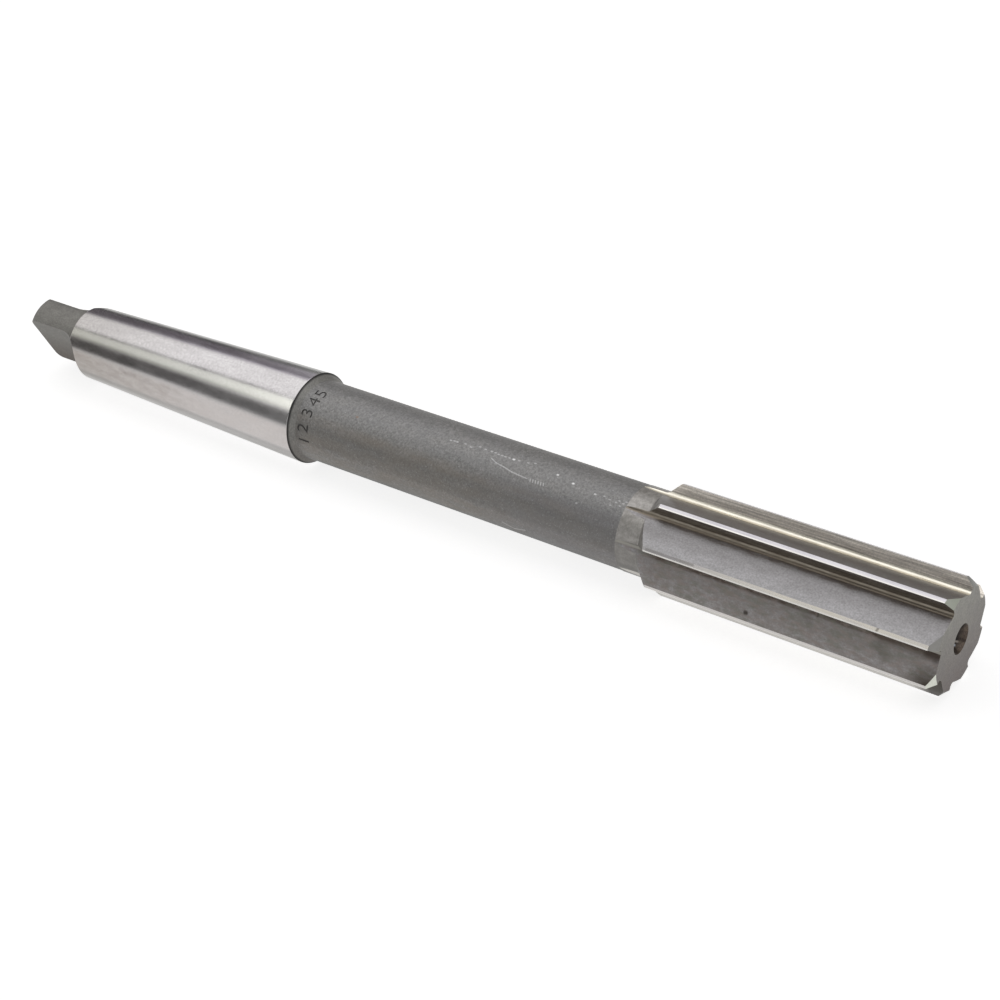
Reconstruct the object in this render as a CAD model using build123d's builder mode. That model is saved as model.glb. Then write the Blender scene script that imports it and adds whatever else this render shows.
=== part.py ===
from build123d import *
import os
from math import atan2, cos, degrees, radians, sin, tan

os.makedirs("parts", exist_ok=True)

# A machine reamer with straight teeth and a Morse taper shank, turned, milled and ground
# from one bar. Lengths are in millimetres. Stations are measured from the tang's end.

# Whole tool
overall_length = 277
cutting_diameter = 27
cutting_length = 71
tooth_count = 8

# Taper shank, size 3
gauge_diameter = 23.825
gauge_station = 94
shank_length = 99
diameter_per_length_share = 0.0502
ground_start = 17.6
tang_diameter = 18.5
tang_thickness = 7.9
tang_flat_length = 13
tang_cutter_radius = 7
tang_corner_radius = 2

# Neck, and the ground ring that leads to the teeth
neck_diameter = 20.8
shoulder_angle = 45
ring_length = 5.9
ring_diameter = 20.96
ramp_angle = 45
ramp_foot_radius = 1.2
ramp_top_radius = 0.8

# Teeth, seen along the axis: a radial rake face, a root fillet and a slightly crowned back
flute_root_height = 9.95
flute_root_radius = 1.0
flute_back_radius = 35
land_width = 1.1
margin_width = 0.3
flank_angle = 6
lead_length = 1.8
flute_cutter_radius = 40
flute_run_out_turn = 40
full_depth_lead = 0.9

# Centre holes, 60 degrees, for turning and grinding
front_pilot_diameter = 3.15
front_mouth_diameter = 7
front_hole_depth = 6.8
tang_pilot_diameter = 2.5
tang_mouth_diameter = 5.3
tang_hole_depth = 5.2
centre_angle = 60

# Cutters run past the metal by this much
overrun = 2

# The reamer lies on the edge of one tooth and the heel of the next.
# The tang is in line with the tooth that is this many pitches above that edge.
pitches_above_floor = 3

# Sizes that follow from those above
cutting_radius = cutting_diameter / 2
neck_radius = neck_diameter / 2
ring_radius = ring_diameter / 2
tang_radius = tang_diameter / 2


def taper_radius(station):
    return gauge_diameter / 2 + (station - gauge_station) * diameter_per_length_share / 2


large_end_radius = taper_radius(shank_length)
small_end_radius = taper_radius(ground_start)
tang_step_start = ground_start - (small_end_radius - tang_radius)
neck_start = shank_length + (large_end_radius - neck_radius) / tan(radians(shoulder_angle))
teeth_start = overall_length - cutting_length
ramp_start = teeth_start - (cutting_radius - ring_radius) / tan(radians(ramp_angle))
ring_start = ramp_start - ring_length
full_depth_station = ramp_start - full_depth_lead
pitch_angle = 360 / tooth_count

# Back edge of the margin, then the heel where the flank meets the flute, on the next tooth
margin_turn = radians(pitch_angle) - margin_width / cutting_radius
margin_point = Vector(cutting_radius * cos(margin_turn), cutting_radius * sin(margin_turn))
flank_turn = margin_turn - radians(90) - radians(flank_angle)
flank_width = land_width - margin_width
heel_point = margin_point + Vector(cos(flank_turn), sin(flank_turn)) * flank_width

# At rest the tooth's edge and the next heel are level
rest_turn = degrees(atan2(cutting_radius - heel_point.X, heel_point.Y))
axis_height = cutting_radius * cos(radians(rest_turn))
tang_turn = radians(270 - rest_turn - pitches_above_floor * pitch_angle)

# Along the tool the axis is Z; across it, X is the line of the first tooth's edge
tool_plane = Plane(
    origin=(-overall_length / 2, 0, axis_height),
    x_dir=(0, cos(tang_turn), sin(tang_turn)),
    z_dir=(1, 0, 0),
)
profile_plane = Plane(origin=tool_plane.origin, x_dir=tool_plane.z_dir, z_dir=tool_plane.y_dir)
tang_plane = Plane(origin=tool_plane.origin, x_dir=tool_plane.z_dir, z_dir=-tool_plane.x_dir)
tool_axis = Axis(tool_plane.origin, tool_plane.z_dir)

# Space that the milling cutter takes for one flute, on the tool's own axes
cutter_height = flute_root_height + flute_cutter_radius
cutter_axis = Axis((cutter_height, 0, full_depth_station), (0, 1, 0))
with BuildPart() as flute:
    with BuildSketch(Plane.XY.offset(full_depth_station)) as flute_section:
        with BuildLine():
            outer_radius = cutting_radius + overrun
            rake_outer = (outer_radius, 0)
            rake_foot = (flute_root_height, 0)
            margin_outer = (outer_radius * cos(margin_turn), outer_radius * sin(margin_turn))
            Line(rake_outer, rake_foot)
            RadiusArc(rake_foot, heel_point, -flute_back_radius)
            Polyline(heel_point, margin_point, margin_outer, rake_outer)
        make_face()
        root_corner = flute_section.vertices().sort_by_distance(rake_foot)[0]
        fillet(root_corner, radius=flute_root_radius)
    extrude(amount=overall_length + overrun - full_depth_station)
    revolve(flute_section.sketch.faces(), axis=cutter_axis, revolution_arc=-flute_run_out_turn)

with BuildPart(tool_plane) as reamer:
    # Turned blank
    with BuildSketch(profile_plane) as blank_profile:
        with BuildLine():
            tang_corner = (0, tang_radius)
            ramp_foot = (ramp_start, ring_radius)
            ramp_top = (teeth_start, cutting_radius)
            Polyline(
                (0, 0),
                tang_corner,
                (tang_step_start, tang_radius),
                (ground_start, small_end_radius),
                (shank_length, large_end_radius),
                (neck_start, neck_radius),
                (ring_start, neck_radius),
                (ring_start, ring_radius),
                ramp_foot,
                ramp_top,
                (overall_length - lead_length, cutting_radius),
                (overall_length, cutting_radius - lead_length),
                (overall_length, 0),
                close=True,
            )
        make_face()
        for corner, corner_radius in (
            (tang_corner, tang_corner_radius),
            (ramp_foot, ramp_foot_radius),
            (ramp_top, ramp_top_radius),
        ):
            sharp_corner = blank_profile.vertices().sort_by_distance(corner)[0]
            fillet(sharp_corner, radius=corner_radius)
    revolve(axis=tool_axis)

    # Tang flats, each left by the round of its cutter
    with BuildSketch(tang_plane):
        with BuildLine():
            flat_end = (tang_flat_length, tang_thickness / 2)
            run_out = JernArc(flat_end, (1, 0), tang_cutter_radius, 90)
            Polyline(
                run_out @ 1,
                (-overrun, (run_out @ 1).Y),
                (-overrun, tang_thickness / 2),
                flat_end,
            )
        make_face()
        mirror(about=Plane.XZ)
    extrude(amount=tang_radius + overrun, both=True, mode=Mode.SUBTRACT)

    # Flutes
    with PolarLocations(0, tooth_count):
        add(flute.part, mode=Mode.SUBTRACT)

    # Centre holes
    with Locations(Plane.XY.offset(overall_length)):
        CounterSinkHole(
            radius=front_pilot_diameter / 2,
            counter_sink_radius=front_mouth_diameter / 2,
            depth=front_hole_depth,
            counter_sink_angle=centre_angle,
        )
    with Locations(-Plane.XY):
        CounterSinkHole(
            radius=tang_pilot_diameter / 2,
            counter_sink_radius=tang_mouth_diameter / 2,
            depth=tang_hole_depth,
            counter_sink_angle=centre_angle,
        )

reamer.part.label = "reamer"
export_step(reamer.part, "parts/reamer.step")
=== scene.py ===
import bpy
from math import atan2, cos, degrees, hypot, pi, radians, sin, sqrt, tan
from mathutils import Matrix, Vector


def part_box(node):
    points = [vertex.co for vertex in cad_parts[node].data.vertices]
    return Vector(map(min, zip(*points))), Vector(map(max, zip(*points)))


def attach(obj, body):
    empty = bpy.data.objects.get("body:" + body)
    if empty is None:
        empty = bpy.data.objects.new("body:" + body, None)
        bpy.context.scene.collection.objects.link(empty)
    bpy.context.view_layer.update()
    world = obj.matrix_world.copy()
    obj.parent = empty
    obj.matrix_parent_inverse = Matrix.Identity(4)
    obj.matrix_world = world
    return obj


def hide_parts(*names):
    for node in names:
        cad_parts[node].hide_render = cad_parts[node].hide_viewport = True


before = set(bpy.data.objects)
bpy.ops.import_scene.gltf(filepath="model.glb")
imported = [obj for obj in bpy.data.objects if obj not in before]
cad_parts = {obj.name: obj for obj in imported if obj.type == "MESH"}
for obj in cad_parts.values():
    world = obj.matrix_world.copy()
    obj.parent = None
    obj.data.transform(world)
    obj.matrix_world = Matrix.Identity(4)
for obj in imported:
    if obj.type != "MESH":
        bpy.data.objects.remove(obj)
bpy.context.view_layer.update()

# The reamer is drawn about the world's X axis and lifted to its rest height at the end.
# Lengths are in millimetres, and a station is measured along the tool from the tang's end.
mm = 0.001
nearness = {"sameOutlinePoint": 0.001 * mm, "samePoint": 0.0005 * mm, "picked": 0.01 * mm}
boxLow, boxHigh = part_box("reamer")
restHeight = (boxLow.z + boxHigh.z) / 2
tangEndX = boxLow.x
print("frame loaded, axis", round(restHeight / mm, 3), "mm above the floor")


# Selecting and drawing, as by hand in edit mode

def clearSelection():
    if bpy.context.mode != "OBJECT":
        bpy.ops.object.mode_set(mode="OBJECT")
    bpy.ops.object.select_all(action="DESELECT")


def onlySelect(*things):
    clearSelection()
    for thing in things:
        thing.select_set(True)
    bpy.context.view_layer.objects.active = things[0]


def pickPoints(isWanted):
    thing = bpy.context.object
    bpy.ops.mesh.select_all(action="DESELECT")
    bpy.ops.object.mode_set(mode="OBJECT")
    for point in thing.data.vertices:
        point.select = isWanted(thing.matrix_world @ point.co)
    bpy.ops.object.mode_set(mode="EDIT")


def settle(thing):                      # place and turn go into the mesh
    onlySelect(thing)
    bpy.ops.object.transform_apply(location=True, rotation=True, scale=True)
    return thing


def closeUp(thing):                     # doubles merged, faces pointing outwards
    onlySelect(thing)
    bpy.ops.object.mode_set(mode="EDIT")
    bpy.ops.mesh.select_all(action="SELECT")
    bpy.ops.mesh.remove_doubles(threshold=nearness["samePoint"])
    bpy.ops.mesh.normals_make_consistent(inside=False)
    bpy.ops.object.mode_set(mode="OBJECT")
    return settle(thing)


def turnPoint(start, end, centre, steps):       # arc from the last point about a centre
    first = start - centre
    last = end - centre
    bpy.ops.mesh.spin(
        steps=steps, angle=first.angle(last), center=centre, axis=last.cross(first).normalized()
    )


def drawLine(start, end):
    bpy.ops.mesh.extrude_region_move(TRANSFORM_OT_translate={"value": end - start})


def drawOutline(name, corners, toWorld, stepTurn, fewestSteps=2):
    # each corner is (across, up, rounding radius), and an arc has a step for each stepTurn degrees
    runs = []
    for place, (a, b, rounding) in enumerate(corners):
        here = Vector((a, b))
        if rounding == 0:
            runs.append((here, here, None))
            continue
        before = (Vector(corners[place - 1][:2]) - here).normalized()
        after = (Vector(corners[(place + 1) % len(corners)][:2]) - here).normalized()
        half = before.angle(after) / 2
        reach = rounding / tan(half)
        middle = here + (before + after).normalized() * rounding / sin(half)
        runs.append((here + before * reach, here + after * reach, middle))
    clearSelection()
    bpy.ops.mesh.primitive_plane_add(size=mm, location=toWorld(*runs[0][0]))
    thing = bpy.context.object
    thing.name = name
    bpy.ops.object.mode_set(mode="EDIT")
    bpy.ops.mesh.merge(type="CENTER")
    last = None
    for start, end, middle in runs:
        if last is not None:
            drawLine(toWorld(*last), toWorld(*start))
        if middle is not None:
            swing = (start - middle).angle(end - middle)
            steps = max(fewestSteps, round(degrees(swing) / stepTurn))
            turnPoint(toWorld(*start), toWorld(*end), toWorld(*middle), steps)
        last = end
    return thing


# Sizes of the turned blank, its centre holes, the tang and the teeth
overrun = 2                             # cutters run past the metal by this much
blank = {
    "length": 277, "shankLength": 99, "gaugeDiameter": 23.825, "gaugeStation": 94, "taper": 0.0502,
    "groundStart": 17.6, "tangDiameter": 18.5, "tangEndRounding": 2, "neckDiameter": 20.8,
    "ringStart": 197.08, "ringDiameter": 20.96, "rampStart": 202.98, "rampFootRounding": 1.2,
    "rampTopRounding": 0.8, "teethStart": 206, "cuttingDiameter": 27, "lead": 1.8,
    "edgeRounding": 0.22, "shoulderFoot": 0.35, "stampRing": 110, "runOutRing": 190,
    "turnSteps": 360, "stepTurn": 8,
}
centreHoles = {
    "tang": {"pilot": 2.5, "mouth": 5.3, "depth": 5.2},
    "front": {"pilot": 3.15, "mouth": 7, "depth": 6.8},
    "coneTurn": radians(60),
}
tang = {"thickness": 7.9, "flatLength": 13, "cutterRadius": 7, "stepTurn": 4}
teeth = {
    "count": 8, "rootHeight": 9.95, "rootRadius": 1.0, "backRadius": 35, "land": 1.1, "margin": 0.3,
    "flankTurn": radians(6), "cutterRadius": 40, "runOutTurn": radians(40), "fullDepth": 202.08,
    "pitchesAboveFloor": 3, "rootSteps": 12, "backSteps": 16, "runOutSteps": 20,
}
cuttingRadius = blank["cuttingDiameter"] / 2
neckRadius = blank["neckDiameter"] / 2
pitch = 2 * pi / teeth["count"]

# The heel of one tooth and the edge of the next stand on the floor
marginTurn = pitch - teeth["margin"] / cuttingRadius
marginPoint = Vector((cos(marginTurn), sin(marginTurn))) * cuttingRadius
flankWay = marginTurn - pi / 2 - teeth["flankTurn"]
heelPoint = marginPoint + Vector((cos(flankWay), sin(flankWay))) * (teeth["land"] - teeth["margin"])
restTurn = atan2(cuttingRadius - heelPoint.x, heelPoint.y)
firstToothTurn = 3 * pi / 2 - restTurn - teeth["pitchesAboveFloor"] * pitch


def taperRadius(station):
    return blank["gaugeDiameter"] / 2 + (station - blank["gaugeStation"]) * blank["taper"] / 2


def alongAxis(station, radius):         # a point of the blank's outline, above the axis
    return Vector((tangEndX + station * mm, 0, radius * mm))


# Materials: one for each way that the steel was left; some also carry painted light, shade and reflections
pale = (0.8, 0.8, 0.8, 1)
smudge = (0.2, 0.18, 0.17, 1)
patterns = {
    # detail and roughness of the noise, and the two of its values that are spread to 0 and 1,
    # which for the specks are in the look
    "blotches": (4.0, 0.6, 0.35, 0.65), "grain": (3.0, 0.6, 0.3, 0.7), "lines": (3.0, 0.65, 0.35, 0.65),
    "patches": (4.0, 0.65, 0.3, 0.6), "waver": (3.0, 0.6, 0.3, 0.7), "specks": (1.0, 0.5),
}
wearAndShade = {
    # degrees over which a zone ends, the full middle of a mark, the waver of the painted shade at the tooth
    # roots and its shares on the run-outs and on the teeth, and the dark rims, which are painted shade
    "zoneEdge": 0.6, "markCore": 0.3, "waverStretch": (4, 0.7, 0.7), "teethStations": (199, 204),
    "rootShadeShares": (0.2, 1.0), "rimShare": 0.9, "rimColour": (0.02, 0.02, 0.02, 1),
}


def feed(tree, socket, value):
    if isinstance(value, bpy.types.NodeSocket):
        tree.links.new(value, socket)
    else:
        socket.default_value = value


def calc(tree, operation, *values):
    node = tree.nodes.new("ShaderNodeMath")
    node.operation = operation
    for socket, value in zip(node.inputs, values):
        feed(tree, socket, value)
    return node.outputs[0]


def spread(tree, value, low, high, toLow=0.0, toHigh=1.0):
    node = tree.nodes.new("ShaderNodeMapRange")
    for socket, number in zip(node.inputs, (value, low, high, toLow, toHigh)):
        feed(tree, socket, number)
    return node.outputs[0]


def blendColours(tree, share, first, second, way="MIX"):
    node = tree.nodes.new("ShaderNodeMix")
    node.data_type = "RGBA"
    node.blend_type = way
    feed(tree, node.inputs[0], share)
    feed(tree, node.inputs[6], first)
    feed(tree, node.inputs[7], second)
    return node.outputs[2]


def placeInMillimetres(tree, stretch=(1, 1, 1)):
    # Object coordinates with the tool's axis at zero, shrunk where a pattern is to be long
    source = tree.nodes.new("ShaderNodeTexCoord").outputs["Object"]
    centred = tree.nodes.new("ShaderNodeMapping")
    centred.inputs["Location"].default_value = (-tangEndX / mm, 0, -restHeight / mm)
    centred.inputs["Scale"].default_value = (1 / mm, 1 / mm, 1 / mm)
    tree.links.new(source, centred.inputs["Vector"])
    shaped = tree.nodes.new("ShaderNodeMapping")
    shaped.inputs["Scale"].default_value = [1 / size for size in stretch]
    tree.links.new(centred.outputs[0], shaped.inputs["Vector"])
    return shaped.outputs[0]


def noise(tree, stretch, detail, roughness, low, high):
    node = tree.nodes.new("ShaderNodeTexNoise")
    node.inputs["Scale"].default_value = 1.0
    node.inputs["Detail"].default_value = detail
    node.inputs["Roughness"].default_value = roughness
    tree.links.new(placeInMillimetres(tree, stretch), node.inputs["Vector"])
    return spread(tree, node.outputs[0], low, high)


def vectorCalc(tree, operation, first, second, output=0):
    node = tree.nodes.new("ShaderNodeVectorMath")
    node.operation = operation
    feed(tree, node.inputs[0], first)
    feed(tree, node.inputs["Scale" if operation == "SCALE" else 1], second)
    return node.outputs[output]


def separate(tree, vector):
    node = tree.nodes.new("ShaderNodeSeparateXYZ")
    tree.links.new(vector, node.inputs[0])
    return node.outputs


def stationOf(tree):                    # of the place that is coloured
    return separate(tree, placeInMillimetres(tree))["X"]


def turnPastEdge(tree):                 # from the last tooth's edge, 0 to one pitch
    parts = separate(tree, placeInMillimetres(tree))
    turn = calc(tree, "ARCTAN2", parts["Z"], parts["Y"])
    return calc(tree, "FLOORED_MODULO", calc(tree, "SUBTRACT", turn, firstToothTurn), pitch)


def unrolled(tree, radius):             # station and way round from the top, both in millimetres
    parts = separate(tree, placeInMillimetres(tree))
    turn = calc(tree, "ARCTAN2", calc(tree, "MULTIPLY", parts["Y"], -1.0), parts["Z"])
    node = tree.nodes.new("ShaderNodeCombineXYZ")
    tree.links.new(parts["X"], node.inputs["X"])
    tree.links.new(calc(tree, "MULTIPLY", turn, radius), node.inputs["Y"])
    return node.outputs[0]


def nearLine(tree, place, start, end, width):       # 1 on the line, 0 past its width
    way = end - start
    offset = vectorCalc(tree, "SUBTRACT", place, start)
    along = vectorCalc(tree, "DOT_PRODUCT", offset, way, 1)
    nearest = vectorCalc(tree, "SCALE", way, spread(tree, along, 0, way.length_squared))
    gap = vectorCalc(tree, "LENGTH", vectorCalc(tree, "SUBTRACT", offset, nearest), (0, 0, 0), 1)
    return spread(tree, gap, width * wearAndShade["markCore"], width, 1, 0)


def addZones(tree, colour, zones):      # patchy tints on part of the way round the tool: stains and tones, and on some finishes painted light, shade and reflection tints
    turn = separate(tree, unrolled(tree, 1.0))["Y"]
    for zone in zones:
        start, end = (radians(angle) for angle in zone["turns"])
        soft = radians(zone.get("soft", wearAndShade["zoneEdge"]))
        afterStart = spread(tree, turn, start, start + soft)
        beforeEnd = spread(tree, turn, end, end + soft, 1, 0)
        share = calc(tree, "MULTIPLY", afterStart, beforeEnd)
        patches = noise(tree, zone["patch"], *patterns["patches"])
        share = calc(tree, "MULTIPLY", share, spread(tree, patches, 0, 1, *zone["shares"]))
        if "stations" in zone:
            share = calc(tree, "MULTIPLY", share, spread(tree, stationOf(tree), *zone["stations"]))
        colour = blendColours(tree, share, colour, zone["colour"])
    return colour


def addRootShade(tree, colour, layers):      # painted shade at the foot of each tooth, ragged, less on the run-outs
    waver = noise(tree, wearAndShade["waverStretch"], *patterns["waver"])
    onTeeth = spread(tree, stationOf(tree), *wearAndShade["teethStations"], *wearAndShade["rootShadeShares"])
    for layer in layers:
        ragged = radians(layer["ragged"])
        turn = calc(tree, "ADD", turnPastEdge(tree), spread(tree, waver, 0, 1, -ragged, ragged))
        share = spread(tree, turn, *(radians(angle) for angle in layer["turns"]), layer["share"], 0.0)
        colour = blendColours(tree, calc(tree, "MULTIPLY", share, onTeeth), colour, layer["colour"])
    return colour


def addMarks(tree, colour, place, radius, marks):
    # a mark has the station and the turn from the top towards the front, in degrees, of each of its ends
    for mark in marks:
        ends = [Vector((station, radians(turn) * radius, 0)) for station, turn in mark["ends"]]
        for start, end in zip(ends, ends[1:]):
            share = nearLine(tree, place, start, end, mark["width"])
            share = calc(tree, "MULTIPLY", share, mark["share"])
            colour = blendColours(tree, share, colour, mark["colour"])
    return colour


def bump(tree, height, depth, below=None):
    node = tree.nodes.new("ShaderNodeBump")
    node.inputs["Strength"].default_value = 1.0
    node.inputs["Distance"].default_value = depth * mm
    feed(tree, node.inputs["Height"], height)
    if below is not None:
        tree.links.new(below, node.inputs["Normal"])
    return node.outputs[0]


def shadeColour(tree, colour, pattern, depth):      # darker and lighter with a pattern
    shade = spread(tree, pattern, 0, 1, 1 - depth, 1 + depth)
    grey = tree.nodes.new("ShaderNodeCombineColor")
    for socket in grey.inputs:
        tree.links.new(shade, socket)
    return blendColours(tree, 1.0, colour, grey.outputs[0], "MULTIPLY")


def steel(name, look):
    # look: two colours and the blotches between them, grain, roughness from-to and bump depth;
    # some have lines along the tool, painted shade at the tooth roots, zones (tints and stains, and painted
    # light and shade), a fade (painted shade where it runs upwards), a dark rim of painted shade, sparkle or
    # marks (wear and stains, some painted shade and reflections) too
    material = bpy.data.materials.new(name)
    material.use_nodes = True
    tree = material.node_tree
    shader = tree.nodes["Principled BSDF"]
    shader.inputs["Metallic"].default_value = look.get("metallic", 1.0)
    blotches = noise(tree, look["blotch"], *patterns["blotches"])
    colour = blendColours(tree, blotches, look["dark"], look["light"])
    height = noise(tree, look["grain"], *patterns["grain"])
    if "line" in look:
        lines = noise(tree, look["line"], *patterns["lines"])
        colour = shadeColour(tree, colour, lines, look["lineShade"])
    colour = shadeColour(tree, colour, height, look["grainShade"])
    # painted shade at the tooth roots
    if "rootShade" in look:
        colour = addRootShade(tree, colour, look["rootShade"])
    # zones: stains and tones, and painted light, shade and reflection tints by the way round
    if "zones" in look:
        colour = addZones(tree, colour, look["zones"])
    # a fade along the tool or upwards; the upward fades are painted shade
    if "fade" in look:
        low, high = look["fade"]
        along = separate(tree, placeInMillimetres(tree))[look.get("fadeWay", "Z")]
        fade = blendColours(tree, spread(tree, along, *look["fadeEnds"]), low, high)
        colour = blendColours(tree, 1.0, colour, fade, "MULTIPLY")
    # painted shade: a dark rim
    if "rim" in look:
        share = spread(tree, stationOf(tree), *look["rim"], wearAndShade["rimShare"], 0.0)
        colour = blendColours(tree, share, colour, wearAndShade["rimColour"])
    if "sparkle" in look:
        specks = noise(tree, look["speck"], *patterns["specks"], *look["speckRange"])
        colour = blendColours(tree, calc(tree, "MULTIPLY", specks, look["sparkle"]), colour, pale)
    if "marks" in look:
        colour = addMarks(tree, colour, unrolled(tree, look["radius"]), look["radius"], look["marks"])
    roughness = spread(tree, blotches, 0, 1, *look["roughness"])
    normal = bump(tree, height, look["depth"])
    if "line" in look:
        normal = bump(tree, lines, look["depth"], normal)
    tree.links.new(colour, shader.inputs["Base Color"])
    tree.links.new(roughness, shader.inputs["Roughness"])
    tree.links.new(normal, shader.inputs["Normal"])
    return material


def spots(places, length, width, share):        # short pale marks along the tool
    return [
        {"ends": [(station, turn), (station + length, turn)], "width": width, "share": share, "colour": pale}
        for station, turn in places
    ]


def ticks(first, step, count, lean, turns, width, share):       # a row of pale marks across the tool
    return [
        {"ends": [(station, turns[0]), (station + lean, turns[1])], "width": width, "share": share,
         "colour": pale}
        for station in (first + step * place for place in range(count))
    ]


neckMarks = [
    # left by handling: a dotted trail, a drawn-out line with ticks, single nicks, and one brown spot
    *spots([
        (145.7, 19), (146.6, 18), (147.5, 18), (149.8, 17), (151.7, 19), (153.8, 14), (155.6, 15),
        (157.4, 15), (158.5, 15), (159.5, 16), (160.6, 16), (161.5, 16), (162.7, 16), (165.4, 15),
        (167.9, 14), (169.6, 11),
    ], length=0.35, width=0.26, share=0.38),
    *spots([(164.0, 16)], length=0.3, width=0.36, share=0.9),
    {"ends": [(158.7, 25), (160.5, 29), (162.9, 31)], "width": 0.2, "share": 0.3, "colour": pale},
    {"ends": [(162.9, 31), (165.5, 34), (167.7, 35), (170.1, 36)], "width": 0.2, "share": 0.34,
     "colour": pale},
    *ticks(first=171, step=0.75, count=6, lean=0.2, turns=(35, 38), width=0.2, share=0.45),
    *spots([(176.8, 17)], length=0.2, width=0.33, share=0.75),
    *spots([(181.7, 22)], length=0.2, width=0.35, share=0.85),
    *spots([(184.8, 45.4)], length=0.2, width=0.28, share=0.4),
    *spots([(188.2, 26.4)], length=0.3, width=0.3, share=0.5),
    *spots([
        (190.6, 25), (192.2, 27), (193.1, 33.9), (194.1, 28), (194.6, 24.5), (195.4, 31), (195.9, 26.5),
        (196.4, 23),
    ], length=0.3, width=0.24, share=0.27),
    {"ends": [(164.6, 111), (167.8, 117), (171.2, 111)], "width": 0.25, "share": 0.3, "colour": pale},
    {"ends": [(117.8, 30.7), (118.1, 30.7)], "width": 0.4, "share": 0.5, "colour": (0.3, 0.17, 0.1, 1)},
]
taperMarks = [
    # faint dark smudges on the front
    {"ends": [(33, 80), (37, 84)], "width": 0.9, "share": 0.16, "colour": smudge},
    {"ends": [(38, 76), (40, 80), (44, 79)], "width": 0.8, "share": 0.2, "colour": smudge},
    {"ends": [(46, 84), (49, 82)], "width": 0.9, "share": 0.14, "colour": smudge},
    {"ends": [(30, 92), (36, 94)], "width": 0.7, "share": 0.12, "colour": smudge},
]
floorMarks = [
    # a pit, ticks where a chip scraped along, dark stains, and at the front painted shade below the lower
    # front tooth's edge and on the lower flute
    {"ends": [(232.0, 102.5), (232.4, 102.5)], "width": 0.55, "share": 0.85,
     "colour": (0.03, 0.025, 0.02, 1)},
    {"ends": [(248.7, 75.6), (248.8, 80.4)], "width": 0.4, "share": 0.6, "colour": (0.04, 0.035, 0.03, 1)},
    {"ends": [(264, 78.5), (274, 80)], "width": 1.7, "share": 0.5, "colour": (0.07, 0.055, 0.045, 1)},
    {"ends": [(246, 84), (247, 88)], "width": 1.3, "share": 0.25, "colour": (0.07, 0.065, 0.055, 1)},
    {"ends": [(263, 88), (265, 96)], "width": 1.8, "share": 0.25, "colour": (0.07, 0.065, 0.055, 1)},
    # painted shade in the hollow just below the front tooth's edge at the front end
    {"ends": [(274.3, 78), (276.3, 81)], "width": 1.5, "share": 0.75, "colour": (0.04, 0.03, 0.025, 1)},
    # painted shade on the lower flute at the front end
    {"ends": [(275.5, 120), (275.5, 156)], "width": 6.0, "share": 0.97, "colour": (0.035, 0.028, 0.02, 1)},
]
landMarks = [
    # a tick, and a line scraped along near the run-out
    {"ends": [(263.6, 67.5), (264.0, 63.5)], "width": 0.4, "share": 0.6, "colour": (0.1, 0.085, 0.07, 1)},
    {"ends": [(207, 66.6), (219, 66.2)], "width": 0.45, "share": 0.45, "colour": (0.14, 0.13, 0.12, 1)},
]
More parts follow.
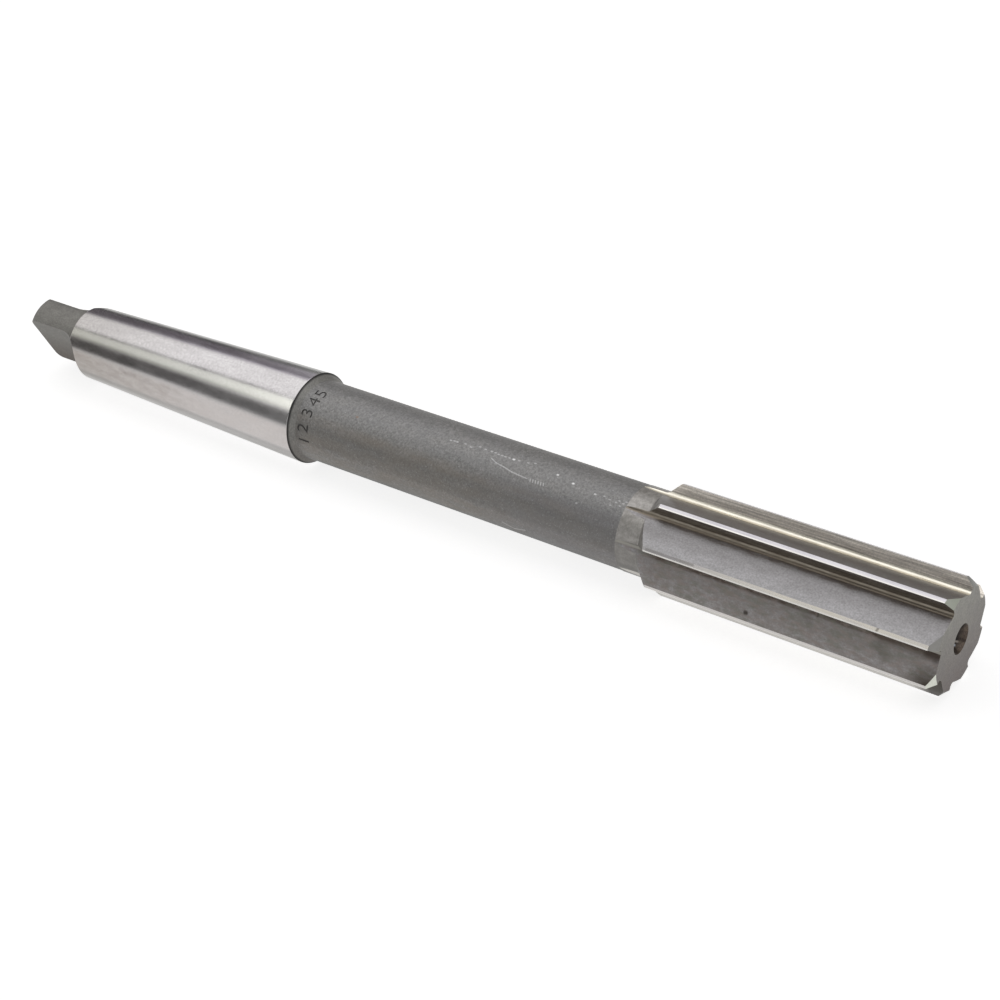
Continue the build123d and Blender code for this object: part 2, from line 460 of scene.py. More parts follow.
finishes = {
    "tangSteel": {
        "dark": (0.155, 0.15, 0.142, 1), "light": (0.22, 0.215, 0.205, 1), "metallic": 0.85,
        "blotch": (4, 3, 3), "grain": (0.42, 0.42, 0.42), "grainShade": 0.2,
        "roughness": (0.5, 0.6), "depth": 0.025,
        # painted shade: darker and browner towards the bottom, lighter at the top
        "fade": ((0.62, 0.55, 0.5, 1), (1.05, 1.05, 1.02, 1)), "fadeEnds": (-8, 2),
    },
    "groundTaper": {
        "dark": (0.45, 0.436, 0.436, 1), "light": (0.52, 0.506, 0.506, 1),
        "blotch": (12, 4, 4), "grain": (0.5, 0.55, 0.55), "grainShade": 0.1,
        "roughness": (0.18, 0.24), "depth": 0.003,
        "fadeWay": "X", "fade": ((0.76, 0.75, 0.72, 1), (1, 1, 1, 1)), "fadeEnds": (15, 62),
        "zones": [
            # painted shade: the top edge, the top band and the top near the large end darker
            {"turns": (-60, -12), "soft": 5, "patch": (20, 3, 3), "shares": (0.55, 0.68),
             "colour": (0.22, 0.22, 0.21, 1)},
            {"turns": (-60, -22), "soft": 8, "patch": (20, 3, 3), "shares": (0.5, 0.62),
             "colour": (0.12, 0.12, 0.105, 1)},
            {"turns": (-24, 2), "soft": 6, "patch": (9, 3, 3), "shares": (0.6, 0.7),
             "colour": (0.16, 0.16, 0.155, 1), "stations": (76, 96)},
            # painted reflection: the dark band below the highlight made wider towards the large end
            {"turns": (54, 70), "soft": 6, "patch": (9, 3, 3), "shares": (0.52, 0.66),
             "colour": (0.18, 0.178, 0.175, 1), "stations": (54, 92)},
            # painted reflection tints: purple in the top band, greenish below the highlight, warm on the
            # lower side
            {"turns": (-14, 4), "soft": 6, "patch": (20, 3, 3), "shares": (0.35, 0.5),
             "colour": (0.5, 0.45, 0.53, 1)},
            {"turns": (36, 50), "soft": 5, "patch": (16, 3, 3), "shares": (0.35, 0.5),
             "colour": (0.5, 0.51, 0.45, 1)},
            {"turns": (70, 103), "soft": 6, "patch": (8, 3, 3), "shares": (0.4, 0.6),
             "colour": (0.52, 0.48, 0.46, 1)},
            # patchy brownish smudges
            {"turns": (72, 116), "soft": 6, "patch": (4, 1.6, 1.6), "shares": (0.0, 0.4),
             "colour": (0.3, 0.265, 0.245, 1), "stations": (74, 56)},
            # painted shade: the lower side darker
            {"turns": (104, 150), "soft": 6, "patch": (8, 3, 3), "shares": (0.42, 0.56),
             "colour": (0.22, 0.21, 0.195, 1)},
            {"turns": (117, 150), "soft": 6, "patch": (8, 3, 3), "shares": (0.45, 0.6),
             "colour": (0.14, 0.135, 0.12, 1), "stations": (36, 74)},
        ],
        "radius": 11, "marks": taperMarks,
    },
    "shoulder": {
        "dark": (0.2, 0.198, 0.192, 1), "light": (0.26, 0.255, 0.245, 1), "metallic": 0.85,
        "blotch": (2, 2, 2), "grain": (0.42, 0.42, 0.42), "grainShade": 0.2,
        "roughness": (0.5, 0.6), "depth": 0.02,
        # painted shade: darker and browner towards the bottom, lighter at the top
        "fade": ((0.7, 0.65, 0.62, 1), (1.05, 1.05, 1.03, 1)), "fadeEnds": (-11, 4),
        # a dark line along the taper's edge: painted shade of the undercut, with some oxide
        "rim": (99.25, 99.6),
    },
    "neckSteel": {
        "dark": (0.21, 0.207, 0.202, 1), "light": (0.265, 0.26, 0.252, 1), "metallic": 0.85,
        "blotch": (7, 4, 4), "grain": (0.56, 0.56, 0.56), "grainShade": 0.3,
        "roughness": (0.48, 0.6), "depth": 0.034,
        "speck": (0.34, 0.34, 0.34), "speckRange": (0.6, 0.74), "sparkle": 0.13,
        "zones": [
            # brown and bluish mottling
            {"turns": (45, 120), "soft": 10, "patch": (9, 2.5, 2.5), "shares": (0.05, 0.55),
             "colour": (0.235, 0.207, 0.176, 1)},
            {"turns": (40, 130), "soft": 8, "patch": (10, 4, 4), "shares": (0.35, 0.5),
             "colour": (0.198, 0.197, 0.208, 1), "stations": (150, 175)},
            # painted shade: the bottom edge darker
            {"turns": (117, 150), "soft": 9, "patch": (9, 4, 4), "shares": (0.35, 0.45),
             "colour": (0.1, 0.1, 0.095, 1)},
            # a cool grey tone on the upper part
            {"turns": (-30, 40), "soft": 10, "patch": (14, 4, 4), "shares": (0.0, 0.3),
             "colour": (0.215, 0.217, 0.224, 1)},
            # painted shade: the lower half darker
            {"turns": (58, 88), "soft": 9, "patch": (9, 4, 4), "shares": (0.3, 0.42),
             "colour": (0.11, 0.108, 0.1, 1)},
        ],
        "radius": neckRadius, "marks": neckMarks,
    },
    "ring": {
        "dark": (0.24, 0.23, 0.217, 1), "light": (0.335, 0.323, 0.306, 1),
        "blotch": (1.6, 1.2, 1.2), "grain": (0.4, 0.6, 0.6), "grainShade": 0.14, "roughness": (0.38, 0.46),
        "depth": 0.012,
        "zones": [
            # painted shade: the lower half darker, and darker still lower down
            {"turns": (66, 160), "soft": 8, "patch": (2, 2, 2), "shares": (0.4, 0.6),
             "colour": (0.13, 0.126, 0.118, 1)},
            {"turns": (104, 160), "soft": 8, "patch": (2, 2, 2), "shares": (0.35, 0.5),
             "colour": (0.1, 0.096, 0.09, 1)},
        ],
    },
    "rake": {
        "dark": (0.44, 0.405, 0.36, 1), "light": (0.66, 0.62, 0.565, 1),
        "blotch": (12, 0.8, 0.8), "line": (20, 0.35, 0.35), "lineShade": 0.26, "grain": (0.45, 0.3, 0.3),
        "grainShade": 0.18, "roughness": (0.38, 0.5), "depth": 0.006,
        "zones": [
            {"turns": (20, 32), "patch": (5, 1, 1), "shares": (0.5, 0.7), "colour": (0.22, 0.185, 0.15, 1)},
        ],
    },
    "root": {
        "dark": (0.61, 0.578, 0.505, 1), "light": (0.74, 0.705, 0.625, 1),
        "blotch": (12, 2, 2), "line": (25, 0.3, 0.3), "lineShade": 0.12, "grain": (0.5, 0.5, 0.5),
        "grainShade": 0.05, "roughness": (0.27, 0.36), "depth": 0.004,
        "zones": [
            # painted highlight: the root of the tooth behind the top made paler
            {"turns": (-24, -8), "patch": (6, 0.8, 0.8), "shares": (0.5, 0.9),
             "colour": (0.84, 0.8, 0.69, 1)},
            # painted shade: the root of the upper front tooth darkened where it would show a bright line
            {"turns": (22, 40), "patch": (3, 0.6, 0.6), "shares": (0.76, 0.97),
             "colour": (0.15, 0.127, 0.1, 1)},
            # painted shade: the roots of the lower teeth darker
            {"turns": (60, 200), "patch": (6, 0.8, 0.8), "shares": (0.75, 0.9),
             "colour": (0.14, 0.13, 0.11, 1)},
            {"turns": (60, 200), "patch": (6, 0.8, 0.8), "shares": (0.6, 0.7),
             "colour": (0.24, 0.235, 0.215, 1)},
        ],
        # painted shade on the floor side of each root
        "rootShade": [{"turns": (2.4, 1.4), "ragged": 0.2, "share": 0.8, "colour": (0.17, 0.155, 0.12, 1)}],
    },
    "floor": {
        "dark": (0.25, 0.245, 0.247, 1), "light": (0.31, 0.304, 0.309, 1),
        "blotch": (5, 2.5, 2.5), "grain": (0.42, 0.38, 0.38), "grainShade": 0.2, "roughness": (0.34, 0.42),
        "depth": 0.01,
        # painted shade: darker towards each tooth's root
        "rootShade": [
            {"turns": (24, 38), "ragged": 2.3, "share": 0.33, "colour": (0.085, 0.078, 0.074, 1)},
            {"turns": (7, 12.5), "ragged": 4, "share": 0.55, "colour": (0.09, 0.07, 0.055, 1)},
        ],
        "zones": [
            {"turns": (-25, 21), "patch": (5, 1, 1), "shares": (0.1, 0.5), "colour": (0.21, 0.18, 0.165, 1)},
            {"turns": (66, 114.3), "patch": (1.8, 1, 1), "shares": (0.15, 0.7),
             "colour": (0.15, 0.132, 0.12, 1), "stations": (203, 207)},
            # painted shade in the corner just below the front tooth's edge
            {"turns": (66, 79.5), "soft": 3, "patch": (2, 0.6, 0.6), "shares": (0.5, 0.9),
             "colour": (0.06, 0.045, 0.036, 1), "stations": (203, 208)},
            {"turns": (72, 114.3), "soft": 3, "patch": (4, 1.3, 1.3), "shares": (-0.9, 0.5),
             "colour": (0.13, 0.132, 0.11, 1)},
            {"turns": (72, 114.3), "soft": 3, "patch": (2.6, 0.9, 0.9), "shares": (-0.9, 0.42),
             "colour": (0.2, 0.165, 0.15, 1)},
            # painted reflection: the floor of the downward-facing flute made pale
            {"turns": (114.4, 158), "patch": (5, 2, 2), "shares": (0.6, 0.8), "colour": (0.62, 0.6, 0.56, 1)},
        ],
        "radius": 11.2, "marks": floorMarks,
    },
    "flank": {
        "dark": (0.42, 0.405, 0.432, 1), "light": (0.52, 0.505, 0.525, 1),
        "blotch": (14, 2, 2), "line": (20, 0.2, 0.2), "lineShade": 0.08, "grain": (0.4, 0.4, 0.4),
        "grainShade": 0.04, "roughness": (0.22, 0.3), "depth": 0.002,
        "zones": [
            # painted shade and highlight: the land of the front tooth grey at the rear and pale further
            # forward
            {"turns": (60, 70), "patch": (5, 2, 2), "shares": (0.3, 0.7), "colour": (0.3, 0.29, 0.28, 1),
             "stations": (232, 216)},
            {"turns": (60, 70), "patch": (7, 1, 1), "shares": (0.5, 0.85), "colour": (0.64, 0.603, 0.52, 1),
             "stations": (214, 232)},
            # painted highlight: the lands lower down pale
            {"turns": (75, 120), "patch": (8, 2, 2), "shares": (0.35, 0.6), "colour": (0.64, 0.61, 0.555, 1)},
        ],
        "radius": 13.4, "marks": landMarks,
    },
    "margin": {
        "dark": (0.58, 0.565, 0.54, 1), "light": (0.68, 0.665, 0.635, 1),
        "blotch": (10, 2, 2), "grain": (0.4, 0.4, 0.4), "grainShade": 0.04,
        "roughness": (0.2, 0.27), "depth": 0.002,
    },
    "leadFace": {
        "dark": (0.42, 0.43, 0.4, 1), "light": (0.56, 0.57, 0.53, 1),
        "blotch": (1, 1, 1), "grain": (0.35, 0.35, 0.35), "grainShade": 0.12,
        "roughness": (0.28, 0.38), "depth": 0.006,
        "zones": [
            # painted light and shade: each tooth's lead facet gets its own lightness, darker or paler as it
            # faces the light
            {"turns": (-65, -21), "patch": (2, 2, 2), "shares": (0.85, 0.95),
             "colour": (0.2, 0.198, 0.185, 1)},
            {"turns": (-20.4, 24.2), "patch": (2, 2, 2), "shares": (0.75, 0.9),
             "colour": (0.27, 0.285, 0.24, 1)},
            {"turns": (24.6, 69.2), "patch": (2, 2, 2), "shares": (0.88, 0.97),
             "colour": (0.21, 0.205, 0.195, 1)},
            {"turns": (69.5, 114.2), "patch": (2, 2, 2), "shares": (0.5, 0.8),
             "colour": (0.66, 0.68, 0.6, 1)},
            {"turns": (114.5, 159.2), "patch": (2, 2, 2), "shares": (0.92, 0.98),
             "colour": (0.09, 0.08, 0.07, 1)},
        ],
    },
    "frontFace": {
        "dark": (0.13, 0.122, 0.118, 1), "light": (0.18, 0.172, 0.165, 1),
        "blotch": (2.5, 2.5, 2.5), "grain": (0.4, 0.4, 0.4), "grainShade": 0.2,
        "roughness": (0.4, 0.5), "depth": 0.012,
        # painted shade: darker and browner towards the bottom, lighter at the top
        "fade": ((0.76, 0.66, 0.65, 1), (1.32, 1.36, 1.26, 1)), "fadeEnds": (-12, 10),
    },
    "centreHole": {
        "dark": (0.05, 0.039, 0.034, 1), "light": (0.13, 0.104, 0.083, 1),
        "blotch": (1.0, 1.0, 1.0), "grain": (0.35, 0.35, 0.35), "grainShade": 0.2, "roughness": (0.35, 0.45),
        # painted shade: the rim darkens the deep part of the hole
        "depth": 0.01, "rim": (275.2, 276.4), "radius": 2.35,
        "marks": [
            # painted reflections on the cone's wall: a blue-grey highlight and a pale streak
            {"ends": [(274.7, -179), (275.3, -172)], "width": 0.45, "share": 0.6,
             "colour": (0.5, 0.54, 0.6, 1)},
            {"ends": [(275.2, -150), (275.6, -146)], "width": 0.3, "share": 0.4,
             "colour": (0.4, 0.36, 0.32, 1)},
        ],
    },
    "stampFloor": {
        "dark": (0.08, 0.078, 0.075, 1), "light": (0.12, 0.116, 0.11, 1), "metallic": 0.6,
        "blotch": (1, 1, 1), "grain": (0.3, 0.3, 0.3), "grainShade": 0.1,
        "roughness": (0.55, 0.65), "depth": 0.01,
    },
}
materials = {name: steel(name, look) for name, look in finishes.items()}
print("materials made:", len(materials))


def addSlots(thing, names):
    for name in names:
        thing.data.materials.append(materials[name])


# The turned blank: one outline spun about the axis

def blankCorners():
    rounding = blank["edgeRounding"]
    tangRadius = blank["tangDiameter"] / 2
    smallEnd = taperRadius(blank["groundStart"])
    largeEnd = taperRadius(blank["shankLength"])
    neckStart = blank["shankLength"] + largeEnd - neckRadius
    ringRadius = blank["ringDiameter"] / 2
    length = blank["length"]
    rear = centreHoles["tang"]
    front = centreHoles["front"]
    coneSlope = tan(centreHoles["coneTurn"] / 2)
    return [
        (rear["depth"], 0, 0),
        (rear["depth"], rear["pilot"] / 2, 0),
        ((rear["mouth"] - rear["pilot"]) / 2 / coneSlope, rear["pilot"] / 2, 0),
        (0, rear["mouth"] / 2, 0),
        (0, tangRadius, blank["tangEndRounding"]),
        (blank["groundStart"] - (smallEnd - tangRadius), tangRadius, 0),
        (blank["groundStart"], smallEnd, rounding),
        (blank["shankLength"], largeEnd, rounding),
        (neckStart, neckRadius, blank["shoulderFoot"]),
        (blank["stampRing"], neckRadius, 0),
        (blank["runOutRing"], neckRadius, 0),
        (blank["ringStart"], neckRadius, 0),
        (blank["ringStart"], ringRadius, 0),
        (blank["rampStart"], ringRadius, blank["rampFootRounding"]),
        (blank["teethStart"], cuttingRadius, blank["rampTopRounding"]),
        (length - blank["lead"], cuttingRadius, 0),
        (length, cuttingRadius - blank["lead"], 0),
        (length, front["mouth"] / 2, 0),
        (length - (front["mouth"] - front["pilot"]) / 2 / coneSlope, front["pilot"] / 2, 0),
        (length - front["depth"], front["pilot"] / 2, 0),
        (length - front["depth"], 0, 0),
    ]


# How near an edge a facet's middle still counts as past it
slack = {"along": 0.1, "tangStep": 0.2, "neckSkin": 0.05, "edge": 0.01, "section": 0.02, "back": 0.03}
blankFinishes = [
    "tangSteel", "groundTaper", "shoulder", "neckSteel", "ring",
    "margin", "leadFace", "frontFace", "centreHole",
]


def blankFinish(station, radius):
    length = blank["length"]
    rear = centreHoles["tang"]
    front = centreHoles["front"]
    if station < rear["depth"] + slack["along"] and radius < rear["mouth"] / 2:
        return "centreHole"
    if station > length - front["depth"] - slack["along"] and radius < front["mouth"] / 2:
        return "centreHole"
    if station < blank["groundStart"] - slack["tangStep"]:
        return "tangSteel"
    if station < blank["shankLength"] + slack["along"]:
        return "groundTaper"
    if radius > neckRadius + slack["neckSkin"] and station < blank["stampRing"]:
        return "shoulder"
    if station < blank["ringStart"] - slack["edge"]:
        return "neckSteel"
    if station < blank["teethStart"] + slack["along"]:
        return "ring"
    if station < length - blank["lead"] - slack["edge"]:
        return "margin"
    if radius > cuttingRadius - blank["lead"]:
        return "leadFace"
    return "frontFace"


def makeBlank():
    thing = drawOutline("reamer_body", blankCorners(), alongAxis, blank["stepTurn"])
    bpy.ops.mesh.select_all(action="SELECT")
    bpy.ops.mesh.spin(steps=blank["turnSteps"], angle=2 * pi, center=(0, 0, 0), axis=(1, 0, 0))
    closeUp(thing)
    addSlots(thing, blankFinishes)
    for face in thing.data.polygons:
        station = (face.center.x - tangEndX) / mm
        radius = hypot(face.center.y, face.center.z) / mm
        face.material_index = blankFinishes.index(blankFinish(station, radius))
    return thing


# Cutters

def makeTangCutter(side):
    reach = blank["tangDiameter"]
    flat = tang["thickness"] / 2
    top = flat + tang["cutterRadius"]
    corners = [
        (tang["flatLength"] + tang["cutterRadius"], top, 0),
        (-overrun, top, 0),
        (-overrun, flat, 0),
        (tang["flatLength"] + tang["cutterRadius"], flat, tang["cutterRadius"]),
    ]

    def toWorld(station, height):
        return Vector((tangEndX + station * mm, side * height * mm, -reach * mm))

    thing = drawOutline("tangCutter", corners, toWorld, tang["stepTurn"])
    bpy.ops.mesh.select_all(action="SELECT")
    bpy.ops.mesh.remove_doubles(threshold=nearness["sameOutlinePoint"])
    bpy.ops.mesh.select_all(action="SELECT")
    bpy.ops.mesh.edge_face_add()
    bpy.ops.mesh.extrude_region_move(TRANSFORM_OT_translate={"value": (0, 0, 2 * reach * mm)})
    bpy.ops.object.mode_set(mode="OBJECT")
    closeUp(thing)
    addSlots(thing, ["tangSteel"])
    return thing


fluteFinishes = ["rake", "root", "floor", "flank"]


def fluteOutline():
    # across the tool: u along the tooth's edge line, v a quarter turn on
    outer = cuttingRadius + overrun
    backRadius = teeth["backRadius"]
    rootRadius = teeth["rootRadius"]
    foot = Vector((teeth["rootHeight"], 0))
    half = (heelPoint - foot) / 2
    inward = Vector((-half.y, half.x)).normalized()
    backCentre = foot + half + inward * sqrt(backRadius ** 2 - half.length ** 2)
    rise = rootRadius - backCentre.y
    rootCentre = Vector((backCentre.x + sqrt((backRadius + rootRadius) ** 2 - rise ** 2), rootRadius))
    rootEnd = backCentre + (rootCentre - backCentre) * backRadius / (backRadius + rootRadius)
    marginOuter = Vector((cos(marginTurn), sin(marginTurn))) * outer
    return {
        "rakeOuter": Vector((outer, 0)), "rootStart": Vector((rootCentre.x, 0)), "rootCentre": rootCentre,
        "rootEnd": rootEnd, "backCentre": backCentre, "marginOuter": marginOuter,
    }


def fluteFinish(u, v, outline):
    # by the place on the flute's section
    if v < slack["section"]:
        return "rake"
    offBack = abs((Vector((u, v)) - outline["backCentre"]).length - teeth["backRadius"])
    if offBack < slack["back"] and v > outline["rootEnd"].y - slack["section"]:
        return "floor"
    if v < outline["rootEnd"].y + slack["section"]:
        return "root"
    return "flank"


def makeFluteCutter():
    outline = fluteOutline()

    def toWorld(u, v):
        return Vector((tangEndX + teeth["fullDepth"] * mm, -v * mm, u * mm))

    at = {name: toWorld(*place) for name, place in outline.items()}
    start = at["rakeOuter"]
    heel = toWorld(*heelPoint)
    marginEdge = toWorld(*marginPoint)
    clearSelection()
    bpy.ops.mesh.primitive_plane_add(size=mm, location=start)
    thing = bpy.context.object
    thing.name = "fluteCutter"
    bpy.ops.object.mode_set(mode="EDIT")
    bpy.ops.mesh.merge(type="CENTER")
    drawLine(start, at["rootStart"])
    turnPoint(at["rootStart"], at["rootEnd"], at["rootCentre"], teeth["rootSteps"])
    turnPoint(at["rootEnd"], heel, at["backCentre"], teeth["backSteps"])
    drawLine(heel, marginEdge)
    drawLine(marginEdge, at["marginOuter"])
    bpy.ops.mesh.select_all(action="SELECT")
    bpy.ops.mesh.remove_doubles(threshold=nearness["sameOutlinePoint"])
    ends = (start, at["marginOuter"])
    pickPoints(lambda point: min((point - end).length for end in ends) < nearness["picked"])
    bpy.ops.mesh.edge_face_add()
    bpy.ops.mesh.select_all(action="SELECT")
    ahead = blank["length"] + overrun - teeth["fullDepth"]
    bpy.ops.mesh.extrude_region_move(TRANSFORM_OT_translate={"value": (ahead * mm, 0, 0)})
    bpy.ops.mesh.edge_face_add()
    pickPoints(lambda point: abs(point.x - start.x) < nearness["picked"])
    cutterAxis = teeth["rootHeight"] + teeth["cutterRadius"]
    bpy.ops.mesh.spin(
        steps=teeth["runOutSteps"], angle=teeth["runOutTurn"],
        center=(start.x, 0, cutterAxis * mm), axis=(0, -1, 0),
    )
    bpy.ops.mesh.edge_face_add()
    bpy.ops.object.mode_set(mode="OBJECT")
    closeUp(thing)
    addSlots(thing, fluteFinishes)
    for face in thing.data.polygons:
        back = max(0, start.x - face.center.x) / mm
        u = cutterAxis - hypot(cutterAxis - face.center.z / mm, back)
        face.material_index = fluteFinishes.index(fluteFinish(u, -face.center.y / mm, outline))
    return thing


def copyAbout(thing, turn):
    onlySelect(thing)
    bpy.ops.object.duplicate()
    twin = bpy.context.object
    twin.rotation_euler.x = turn
    return settle(twin)


def cutAway(body, cutters, name):
    onlySelect(*cutters)
    if len(cutters) > 1:
        bpy.ops.object.join()
    cutter = bpy.context.object
    cutter.name = name
    onlySelect(body)
    cut = body.modifiers.new(name, "BOOLEAN")
    cut.operation = "DIFFERENCE"
    cut.solver = "EXACT"
    cut.material_mode = "TRANSFER"
    cut.object = cutter
    cut.use_self = len(cutters) > 1
    bpy.ops.object.modifier_apply(modifier=name)
    onlySelect(cutter)
    bpy.ops.object.delete()
    print(name, "done:", len(body.data.polygons), "faces")


body = makeBlank()
print("blank turned:", len(body.data.polygons), "faces")

tangTurn = firstToothTurn - pi / 2
for side in (1, -1):
    tangCutter = makeTangCutter(side)
    cutAway(body, [copyAbout(tangCutter, tangTurn)], "tangFlat")
    onlySelect(tangCutter)
    bpy.ops.object.delete()

firstCutter = makeFluteCutter()
for tooth in range(teeth["count"]):
    cutAway(body, [copyAbout(firstCutter, firstToothTurn - pi / 2 + tooth * pitch)], "flute")
onlySelect(firstCutter)
bpy.ops.object.delete()


# Stamped digits on the neck, each a little off its line
stamp = {
    "digits": "12345", "size": 3.5, "depth": 0.17, "letterShare": 1.42, "thinning": 0.02, "curveSteps": 4,
    "stations": (103.6, 103.2, 103.5, 103.9, 104.2),
    "turns": (177.9, 159.9, 137.6, 119.6, 104.1),
}


def makeDigit(digit, station, turn):
    clearSelection()
    bpy.ops.object.text_add(location=(0, 0, 0))
    thing = bpy.context.object
    thing.data.body = digit
    thing.data.size = stamp["size"] * stamp["letterShare"] * mm
    thing.data.align_x = "CENTER"
    thing.data.align_y = "CENTER"
    thing.data.extrude = 2 * stamp["depth"] * mm
    thing.data.offset = -stamp["thinning"] * mm
    thing.data.resolution_u = stamp["curveSteps"]
    bpy.ops.object.convert(target="MESH")
    thing = bpy.context.object
    thing.rotation_euler.z = pi / 2
    thing.location = (tangEndX + station * mm, 0, (neckRadius + stamp["depth"]) * mm)
    settle(thing)
    thing.rotation_euler.x = radians(turn) - pi / 2
    settle(thing)
    closeUp(thing)
    addSlots(thing, ["stampFloor"])
    return thing


digits = [makeDigit(*row) for row in zip(stamp["digits"], stamp["stations"], stamp["turns"])]
cutAway(body, digits, "stamp")


# Lift to the rest height, then smooth what is round and keep edges crisp
crisp = {"edgeTurn": radians(24), "finishEdgeTurn": radians(4)}


def finishBody(thing):
    thing.location.z = restHeight
    closeUp(thing)
    bpy.ops.object.shade_smooth_by_angle(angle=crisp["edgeTurn"])
    mesh = thing.data
    facesOfEdge = {}
    for face in mesh.polygons:
        for edge in face.edge_keys:
            facesOfEdge.setdefault(edge, []).append(face)
    for edge in mesh.edges:
        faces = facesOfEdge.get(edge.key, [])
        if len(faces) != 2:
            continue
        first, second = faces
        swing = first.normal.angle(second.normal, 0)
        if first.material_index != second.material_index and swing > crisp["finishEdgeTurn"]:
            edge.use_edge_sharp = True


finishBody(body)
loose = sum(1 for edge in body.data.edges if edge.is_loose)
print("body finished:", len(body.data.polygons), "faces,", loose, "loose edges")
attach(body, "root")
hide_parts("reamer")


# Floor, lamps, cards and camera: places in metres, the lens and its sensor in millimetres
studio = {
    "floorSize": 12, "floorColour": (0.6, 0.594, 0.59, 1), "floorGlows": (0.79, 1.0), "glowReach": (0.8, 2.5),
    "worldColour": (1, 1, 1, 1), "worldDiffuse": 0.24, "middle": Vector((0.0, 0.0, restHeight)),
}
panels = [
    # from-to turn about the tool above the -Y horizon, distance, X from-to, radiance, colour
    {"name": "overhead", "turns": (68, 124), "distance": 0.95, "xs": (-1.7, 0.8), "radiance": 0.46,
     "colour": (1, 0.98, 1)},
    {"name": "frontHigh", "turns": (40, 64), "distance": 0.95, "xs": (-1.7, -0.5), "radiance": 0.2,
     "colour": (1, 1, 0.965)},
    {"name": "neckFill", "turns": (34, 62), "distance": 0.93, "xs": (-0.76, -0.4), "radiance": 0.95,
     "colour": (1, 1, 0.97)},
]
flags = [
    {"name": "frontFlag", "turns": (0.2, 32), "distance": 1.0, "xs": (-2.0, -0.72),
     "colour": (0.135, 0.13, 0.13, 1)},
    {"name": "softFlag", "turns": (32.4, 41), "distance": 1.0, "xs": (-2.0, -0.72),
     "colour": (0.6, 0.6, 0.58, 1)},
    {"name": "seamFlag", "turns": (62.8, 68.6), "distance": 0.97, "xs": (-2.0, -0.8),
     "colour": (0.15, 0.15, 0.15, 1)},
    {"name": "toothFlag", "turns": (25, 62), "distance": 1.0, "xs": (-0.47, 0.9),
     "colour": (0.05, 0.05, 0.05, 1)},
    {"name": "backFlag", "turns": (132, 180), "distance": 1.0, "xs": (-2.0, -0.75),
     "colour": (0.16, 0.15, 0.16, 1)},
    {"name": "toothBackFlag", "turns": (130, 180), "distance": 1.0, "xs": (-0.6, 0.9),
     "colour": (0.45, 0.43, 0.41, 1)},
]
cameraLook = {
    "place": Vector((0.267559, -0.309118, 0.273074)), "aim": Vector((0.023532, -0.006728, 0.012644)),
    "roll": radians(-4.9146), "lens": 70.867, "sensorWidth": 36, "nearest": 0.01,
}


def makeFloor():
    clearSelection()
    bpy.ops.mesh.primitive_plane_add(size=studio["floorSize"], location=(0, 0, 0))
    floor = bpy.context.object
    floor.name = "studio_floor"
    material = bpy.data.materials.new("paleFloor")
    material.use_nodes = True
    tree = material.node_tree
    tree.nodes.clear()
    cover = tree.nodes.new("ShaderNodeBsdfDiffuse")
    cover.inputs["Color"].default_value = studio["floorColour"]
    glow = tree.nodes.new("ShaderNodeEmission")
    place = tree.nodes.new("ShaderNodeTexCoord").outputs["Object"]
    reach = vectorCalc(tree, "LENGTH", place, (0, 0, 0), 1)
    # the far floor meets the white
    strength = spread(tree, reach, *studio["glowReach"], *studio["floorGlows"])
    tree.links.new(seenRays(tree, strength), glow.inputs["Strength"])
    both = tree.nodes.new("ShaderNodeAddShader")
    tree.links.new(cover.outputs[0], both.inputs[0])
    tree.links.new(glow.outputs[0], both.inputs[1])
    output = tree.nodes.new("ShaderNodeOutputMaterial")
    tree.links.new(both.outputs[0], output.inputs[0])
    floor.data.materials.append(material)


def seenRays(tree, strength, otherwise=0.0):    # strength for rays that look, another for light that falls
    path = tree.nodes.new("ShaderNodeLightPath")
    seen = calc(tree, "MAXIMUM", path.outputs["Is Camera Ray"], path.outputs["Is Glossy Ray"])
    seen = calc(tree, "MAXIMUM", seen, path.outputs["Is Transmission Ray"])
    return spread(tree, seen, 0, 1, otherwise, strength)


def makeWorld():
    world = bpy.data.worlds.new("studio")
    world.use_nodes = True
    bpy.context.scene.world = world
    tree = world.node_tree
    background = tree.nodes["Background"]
    background.inputs["Color"].default_value = studio["worldColour"]
    tree.links.new(seenRays(tree, 1.0, studio["worldDiffuse"]), background.inputs["Strength"])


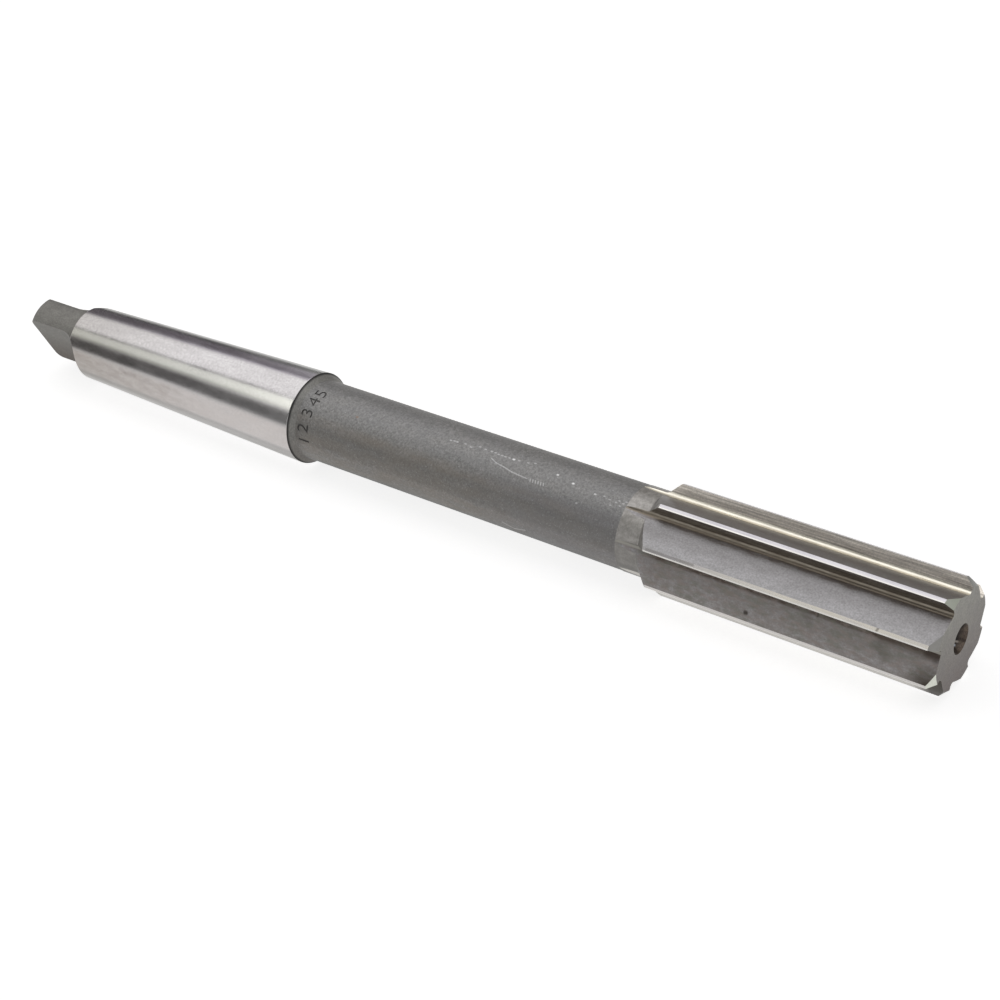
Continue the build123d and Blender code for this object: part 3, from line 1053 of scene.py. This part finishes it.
def cardFrame(card):                    # middle, size and turn of a card that spans two turns about the tool
    ends = []
    for turn in card["turns"]:
        swing = radians(turn)
        ends.append(Vector((0, -cos(swing), sin(swing))) * card["distance"])
    span = ends[1] - ends[0]
    middle = (ends[0] + ends[1]) / 2 + studio["middle"]
    middle.x = sum(card["xs"]) / 2
    up = -(ends[0] + ends[1]).normalized()
    turned = Matrix((Vector((1, 0, 0)), up.cross(Vector((1, 0, 0))), up)).transposed().to_4x4()
    return middle, card["xs"][1] - card["xs"][0], span.length, turned


def makePanel(card):
    middle, length, width, turned = cardFrame(card)
    clearSelection()
    bpy.ops.object.light_add(type="AREA", location=middle)
    lamp = bpy.context.object
    lamp.name = card["name"]
    lamp.matrix_world = Matrix.Translation(middle) @ turned @ Matrix.Rotation(pi, 4, "X")
    lamp.data.shape = "RECTANGLE"
    lamp.data.size = length
    lamp.data.size_y = width
    lamp.data.energy = card["radiance"] * pi * length * width
    lamp.data.color = card["colour"]
    lamp.visible_camera = False


def makeFlag(card):
    middle, length, width, turned = cardFrame(card)
    clearSelection()
    bpy.ops.mesh.primitive_plane_add(size=1, location=middle)
    flag = bpy.context.object
    flag.name = card["name"]
    flag.matrix_world = Matrix.Translation(middle) @ turned @ Matrix.Diagonal((length, width, 1, 1))
    material = bpy.data.materials.new(card["name"])
    material.use_nodes = True
    tree = material.node_tree
    tree.nodes.clear()
    glow = tree.nodes.new("ShaderNodeEmission")
    glow.inputs["Color"].default_value = card["colour"]
    output = tree.nodes.new("ShaderNodeOutputMaterial")
    tree.links.new(glow.outputs[0], output.inputs[0])
    flag.data.materials.append(material)
    for ray in ("camera", "diffuse", "transmission", "shadow", "volume_scatter"):
        setattr(flag, "visible_" + ray, False)


def makeCamera():
    clearSelection()
    place = cameraLook["place"]
    back = place - cameraLook["aim"]
    bpy.ops.object.camera_add(location=place)
    camera = bpy.context.object
    turned = (-back).to_track_quat("-Z", "Y").to_matrix().to_4x4()
    camera.matrix_world = Matrix.Translation(place) @ turned @ Matrix.Rotation(cameraLook["roll"], 4, "Z")
    camera.data.lens = cameraLook["lens"]
    camera.data.sensor_fit = "HORIZONTAL"
    camera.data.sensor_width = cameraLook["sensorWidth"]
    camera.data.clip_start = cameraLook["nearest"]
    bpy.context.scene.camera = camera


makeFloor()
makeWorld()
for card in panels:
    makePanel(card)
for card in flags:
    makeFlag(card)
makeCamera()
bpy.context.scene.view_settings.view_transform = "Standard"
clearSelection()
